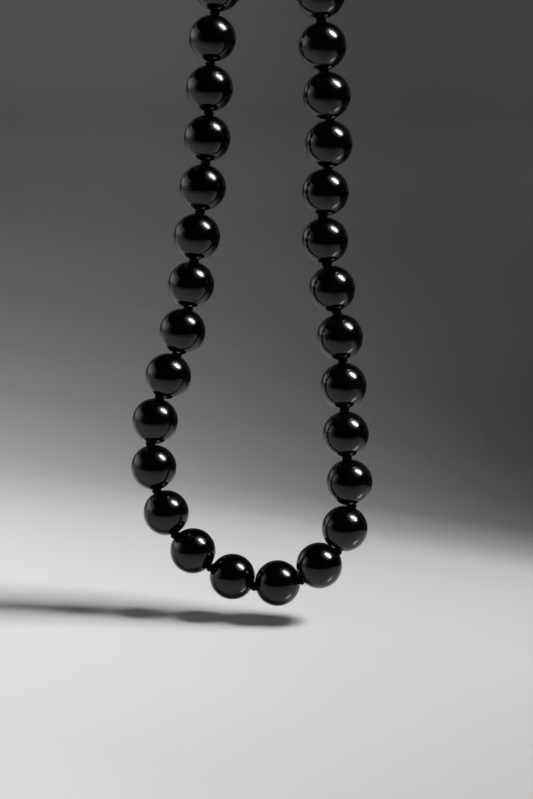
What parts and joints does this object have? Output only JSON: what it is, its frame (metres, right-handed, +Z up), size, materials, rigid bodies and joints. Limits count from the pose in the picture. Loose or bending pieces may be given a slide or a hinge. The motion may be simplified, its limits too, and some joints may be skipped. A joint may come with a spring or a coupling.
{
  "type": "pearl necklace",
  "caption": "Single-strand necklace of round glossy black pearls, knotted on silk, with a magnetic barrel clasp; it hangs as a closed loop.",
  "frame": {"origin": "middle of the clasp barrel's underside, where it rests on a peg that runs along Y", "axes": "+Z up, +X towards the right clasp half, the loop's front faces -Y"},
  "size_m": [0.0535, 0.0241, 0.2123],
  "materials": {
    "pearl": "high gloss",
    "silk": "matt twisted thread",
    "clasp_metal": "polished",
    "magnet": "nickel plated",
    "wire_coil": "bright coiled wire"
  },
  "bodies": {
    "clasp_left": {"clasp_cup_left": "clasp_metal", "clasp_magnet_left": "magnet", "clasp_ring_left": "clasp_metal"},
    "clasp_right": {"clasp_cup_right": "clasp_metal", "clasp_magnet_right": "magnet", "clasp_ring_right": "clasp_metal"},
    "end_loop_left": {"gimp_left": "wire_coil", "silk_end_left": "silk"},
    "end_loop_right": {"gimp_right": "wire_coil", "silk_end_right": "silk"},
    "pearl_01": {"pearl_01": "pearl"},
    "pearl_02": {"pearl_02": "pearl"},
    "pearl_03": {"pearl_03": "pearl"},
    "pearl_04": {"pearl_04": "pearl"},
    "pearl_05": {"pearl_05": "pearl"},
    "pearl_06": {"pearl_06": "pearl"},
    "pearl_07": {"pearl_07": "pearl"},
    "pearl_08": {"pearl_08": "pearl"},
    "pearl_09": {"pearl_09": "pearl"},
    "pearl_10": {"pearl_10": "pearl"},
    "pearl_11": {"pearl_11": "pearl"},
    "pearl_12": {"pearl_12": "pearl"},
    "pearl_13": {"pearl_13": "pearl"},
    "pearl_14": {"pearl_14": "pearl"},
    "pearl_15": {"pearl_15": "pearl"},
    "pearl_16": {"pearl_16": "pearl"},
    "pearl_17": {"pearl_17": "pearl"},
    "pearl_18": {"pearl_18": "pearl"},
    "pearl_19": {"pearl_19": "pearl"},
    "pearl_20": {"pearl_20": "pearl"},
    "pearl_21": {"pearl_21": "pearl"},
    "pearl_22": {"pearl_22": "pearl"},
    "pearl_23": {"pearl_23": "pearl"},
    "pearl_24": {"pearl_24": "pearl"},
    "pearl_25": {"pearl_25": "pearl"},
    "pearl_26": {"pearl_26": "pearl"},
    "pearl_27": {"pearl_27": "pearl"},
    "pearl_28": {"pearl_28": "pearl"},
    "pearl_29": {"pearl_29": "pearl"},
    "pearl_30": {"pearl_30": "pearl"},
    "pearl_31": {"pearl_31": "pearl"},
    "pearl_32": {"pearl_32": "pearl"},
    "pearl_33": {"pearl_33": "pearl"},
    "pearl_34": {"pearl_34": "pearl"},
    "pearl_35": {"pearl_35": "pearl"},
    "pearl_36": {"pearl_36": "pearl"},
    "pearl_37": {"pearl_37": "pearl"},
    "pearl_38": {"pearl_38": "pearl"},
    "pearl_39": {"pearl_39": "pearl"},
    "pearl_40": {"pearl_40": "pearl"}
  },
  "joints": [
    {"name": "clasp_pull", "type": "hinge", "parent": "clasp_left", "child": "clasp_right", "pos_m": [-0.00343, -0.00276, -0.20125], "axis": [0, 1, 0], "range_deg": [0, 2.5], "stiffness_Nm_per_rad": 1, "springref_deg": -22.92},
    {"name": "loop_swing", "type": "hinge", "parent": "clasp_left", "child": "end_loop_left", "pos_m": [-0.0084, 0, 0.00205], "axis": [-1, 0, 0], "range_deg": [-60, 60]},
    {"name": "loop_swing_right", "type": "hinge", "parent": "clasp_right", "child": "end_loop_right", "pos_m": [0.0084, 0, 0.00205], "axis": [-1, 0, 0], "range_deg": [-60, 60]},
    {"name": "knot_bend_01", "type": "hinge", "parent": "end_loop_left", "child": "pearl_01", "pos_m": [-0.0084, 0, -0.002], "axis": [1, 0, 0], "range_deg": [-22, 14]},
    {"name": "knot_bend_01_right", "type": "hinge", "parent": "end_loop_right", "child": "pearl_40", "pos_m": [0.0084, 0, -0.002], "axis": [1, 0, 0], "range_deg": [-22, 14]},
    {"name": "knot_bend_02", "type": "hinge", "parent": "pearl_01", "child": "pearl_02", "pos_m": [-0.01005, 0.00291, -0.01216], "axis": [0.9748, -0.2218, -0.0231], "range_deg": [-30, 30]},
    {"name": "knot_bend_02_right", "type": "hinge", "parent": "pearl_40", "child": "pearl_39", "pos_m": [0.00873, -0.00136, -0.01261], "axis": [0.9748, -0.2218, -0.0231], "range_deg": [-30, 30]},
    {"name": "knot_bend_03", "type": "hinge", "parent": "pearl_02", "child": "pearl_03", "pos_m": [-0.01108, 0.00541, -0.02251], "axis": [-0.9279, 0.3713, 0.0328], "range_deg": [-30, 30]},
    {"name": "knot_bend_03_right", "type": "hinge", "parent": "pearl_39", "child": "pearl_38", "pos_m": [0.00903, -0.00263, -0.02323], "axis": [-0.9279, 0.3713, 0.0328], "range_deg": [-30, 30]},
    {"name": "knot_bend_04", "type": "hinge", "parent": "pearl_03", "child": "pearl_04", "pos_m": [-0.01082, 0.00724, -0.03305], "axis": [-0.8772, 0.4788, 0.0356], "range_deg": [-30, 30]},
    {"name": "knot_bend_04_right", "type": "hinge", "parent": "pearl_38", "child": "pearl_37", "pos_m": [0.00926, -0.00372, -0.03387], "axis": [-0.8772, 0.4788, 0.0356], "range_deg": [-30, 30]},
    {"name": "knot_bend_05", "type": "hinge", "parent": "pearl_04", "child": "pearl_05", "pos_m": [-0.01039, 0.00813, -0.0437], "axis": [0.8413, -0.5395, -0.0342], "range_deg": [-29, 30]},
    {"name": "knot_bend_05_right", "type": "hinge", "parent": "pearl_37", "child": "pearl_36", "pos_m": [0.00958, -0.00468, -0.04452], "axis": [0.8413, -0.5395, -0.0342], "range_deg": [-29, 30]},
    {"name": "knot_bend_06", "type": "hinge", "parent": "pearl_05", "child": "pearl_06", "pos_m": [-0.00994, 0.00786, -0.05439], "axis": [0.83, -0.5568, -0.0318], "range_deg": [-30, 30]},
    {"name": "knot_bend_06_right", "type": "hinge", "parent": "pearl_36", "child": "pearl_35", "pos_m": [0.01015, -0.00562, -0.05516], "axis": [0.83, -0.5568, -0.0318], "range_deg": [-30, 30]},
    {"name": "knot_bend_07", "type": "hinge", "parent": "pearl_06", "child": "pearl_07", "pos_m": [-0.01033, 0.00727, -0.06507], "axis": [-0.8428, 0.5373, 0.0312], "range_deg": [-30, 29]},
    {"name": "knot_bend_07_right", "type": "hinge", "parent": "pearl_35", "child": "pearl_34", "pos_m": [0.01059, -0.00607, -0.06584], "axis": [-0.8428, 0.5373, 0.0312], "range_deg": [-30, 29]},
    {"name": "knot_bend_08", "type": "hinge", "parent": "pearl_07", "child": "pearl_08", "pos_m": [-0.01182, 0.00649, -0.07563], "axis": [-0.8751, 0.4827, 0.0351], "range_deg": [-28, 30]},
    {"name": "knot_bend_08_right", "type": "hinge", "parent": "pearl_34", "child": "pearl_33", "pos_m": [0.01074, -0.00595, -0.07654], "axis": [-0.8751, 0.4827, 0.0351], "range_deg": [-28, 30]},
    {"name": "knot_bend_09", "type": "hinge", "parent": "pearl_08", "child": "pearl_09", "pos_m": [-0.0128, 0.00558, -0.08625], "axis": [0.9173, -0.3967, -0.0347], "range_deg": [-30, 26]},
    {"name": "knot_bend_09_right", "type": "hinge", "parent": "pearl_33", "child": "pearl_32", "pos_m": [0.01142, -0.0049, -0.08716], "axis": [0.9173, -0.3967, -0.0347], "range_deg": [-30, 26]},
    {"name": "knot_bend_10", "type": "hinge", "parent": "pearl_09", "child": "pearl_10", "pos_m": [-0.01315, 0.00454, -0.09689], "axis": [0.9637, -0.266, -0.0235], "range_deg": [-28, 30]},
    {"name": "knot_bend_10_right", "type": "hinge", "parent": "pearl_32", "child": "pearl_31", "pos_m": [0.01282, -0.00263, -0.09752], "axis": [0.9637, -0.266, -0.0235], "range_deg": [-28, 30]},
    {"name": "knot_bend_11", "type": "hinge", "parent": "pearl_10", "child": "pearl_11", "pos_m": [-0.01392, 0.00362, -0.10752], "axis": [-0.9856, 0.168, 0.0206], "range_deg": [-30, 30]},
    {"name": "knot_bend_11_right", "type": "hinge", "parent": "pearl_31", "child": "pearl_30", "pos_m": [0.01251, -0.00089, -0.10807], "axis": [-0.9856, 0.168, 0.0206], "range_deg": [-30, 30]},
    {"name": "knot_bend_12", "type": "hinge", "parent": "pearl_11", "child": "pearl_12", "pos_m": [-0.01516, 0.00279, -0.11811], "axis": [-0.9956, 0.0913, 0.02], "range_deg": [-30, 26]},
    {"name": "knot_bend_12_right", "type": "hinge", "parent": "pearl_30", "child": "pearl_29", "pos_m": [0.01146, 0.00035, -0.11865], "axis": [-0.9956, 0.0913, 0.02], "range_deg": [-30, 26]},
    {"name": "knot_bend_13", "type": "hinge", "parent": "pearl_12", "child": "pearl_13", "pos_m": [-0.01651, 0.00247, -0.12872], "axis": [0.9972, -0.0725, -0.0198], "range_deg": [-29, 30]},
    {"name": "knot_bend_13_right", "type": "hinge", "parent": "pearl_29", "child": "pearl_28", "pos_m": [0.01248, 0.00037, -0.1293], "axis": [0.9972, -0.0725, -0.0198], "range_deg": [-29, 30]},
    {"name": "knot_bend_14", "type": "hinge", "parent": "pearl_13", "child": "pearl_14", "pos_m": [-0.01787, 0.00282, -0.13933], "axis": [0.9949, -0.1004, -0.0125], "range_deg": [-30, 30]},
    {"name": "knot_bend_14_right", "type": "hinge", "parent": "pearl_28", "child": "pearl_27", "pos_m": [0.01467, -0.00047, -0.13974], "axis": [0.9949, -0.1004, -0.0125], "range_deg": [-30, 30]},
    {"name": "knot_bend_15", "type": "hinge", "parent": "pearl_14", "child": "pearl_15", "pos_m": [-0.02048, 0.00315, -0.1497], "axis": [-0.9913, 0.1308, 0.0161], "range_deg": [-30, 30]},
    {"name": "knot_bend_15_right", "type": "hinge", "parent": "pearl_27", "child": "pearl_26", "pos_m": [0.01596, -0.00166, -0.15029], "axis": [-0.9913, 0.1308, 0.0161], "range_deg": [-30, 30]},
    {"name": "knot_bend_16", "type": "hinge", "parent": "pearl_15", "child": "pearl_16", "pos_m": [-0.02442, 0.00353, -0.15964], "axis": [-0.9859, 0.1647, 0.0295], "range_deg": [-30, 30]},
    {"name": "knot_bend_16_right", "type": "hinge", "parent": "pearl_26", "child": "pearl_25", "pos_m": [0.01635, -0.00329, -0.16086], "axis": [-0.9859, 0.1647, 0.0295], "range_deg": [-30, 30]},
    {"name": "knot_bend_17", "type": "hinge", "parent": "pearl_16", "child": "pearl_17", "pos_m": [-0.02651, 0.00345, -0.17013], "axis": [0.9833, -0.1795, -0.0304], "range_deg": [-28, 29]},
    {"name": "knot_bend_17_right", "type": "hinge", "parent": "pearl_25", "child": "pearl_24", "pos_m": [0.01695, -0.00449, -0.17147], "axis": [0.9833, -0.1795, -0.0304], "range_deg": [-28, 29]},
    {"name": "knot_bend_18", "type": "hinge", "parent": "pearl_17", "child": "pearl_18", "pos_m": [-0.02518, 0.00263, -0.18072], "axis": [0.9831, -0.1804, -0.0309], "range_deg": [-25, 25]},
    {"name": "knot_bend_18_right", "type": "hinge", "parent": "pearl_24", "child": "pearl_23", "pos_m": [0.01811, -0.00531, -0.18208], "axis": [0.9831, -0.1804, -0.0309], "range_deg": [-25, 25]},
    {"name": "knot_bend_19", "type": "hinge", "parent": "pearl_18", "child": "pearl_19", "pos_m": [-0.0211, 0.0013, -0.19052], "axis": [-0.9822, 0.1815, 0.0488], "range_deg": [-15, 13]},
    {"name": "knot_bend_19_right", "type": "hinge", "parent": "pearl_23", "child": "pearl_22", "pos_m": [0.01499, -0.00538, -0.19231], "axis": [-0.9822, 0.1815, 0.0488], "range_deg": [-15, 13]},
    {"name": "knot_bend_20", "type": "hinge", "parent": "pearl_19", "child": "pearl_20", "pos_m": [-0.01322, -0.00064, -0.19749], "axis": [-0.9784, 0.1866, 0.0889], "range_deg": [-30, 30]},
    {"name": "knot_bend_20_right", "type": "hinge", "parent": "pearl_22", "child": "pearl_21", "pos_m": [0.00695, -0.00448, -0.19932], "axis": [-0.9784, 0.1866, 0.0889], "range_deg": [-30, 30]}
  ],
  "couplings": [
    {"joint": "loop_swing_right", "follows": "loop_swing", "ratio": 1},
    {"joint": "knot_bend_01_right", "follows": "knot_bend_01", "ratio": 1},
    {"joint": "knot_bend_02_right", "follows": "knot_bend_02", "ratio": 1},
    {"joint": "knot_bend_03_right", "follows": "knot_bend_03", "ratio": 1},
    {"joint": "knot_bend_04_right", "follows": "knot_bend_04", "ratio": 1},
    {"joint": "knot_bend_05_right", "follows": "knot_bend_05", "ratio": 1},
    {"joint": "knot_bend_06_right", "follows": "knot_bend_06", "ratio": 1},
    {"joint": "knot_bend_07_right", "follows": "knot_bend_07", "ratio": 1},
    {"joint": "knot_bend_08_right", "follows": "knot_bend_08", "ratio": 1},
    {"joint": "knot_bend_09_right", "follows": "knot_bend_09", "ratio": 1},
    {"joint": "knot_bend_10_right", "follows": "knot_bend_10", "ratio": 1},
    {"joint": "knot_bend_11_right", "follows": "knot_bend_11", "ratio": 1},
    {"joint": "knot_bend_12_right", "follows": "knot_bend_12", "ratio": 1},
    {"joint": "knot_bend_13_right", "follows": "knot_bend_13", "ratio": 1},
    {"joint": "knot_bend_14_right", "follows": "knot_bend_14", "ratio": 1},
    {"joint": "knot_bend_15_right", "follows": "knot_bend_15", "ratio": 1},
    {"joint": "knot_bend_16_right", "follows": "knot_bend_16", "ratio": 1},
    {"joint": "knot_bend_17_right", "follows": "knot_bend_17", "ratio": 1},
    {"joint": "knot_bend_18_right", "follows": "knot_bend_18", "ratio": 1},
    {"joint": "knot_bend_19_right", "follows": "knot_bend_19", "ratio": 1},
    {"joint": "knot_bend_20_right", "follows": "knot_bend_20", "ratio": 1}
  ]
}
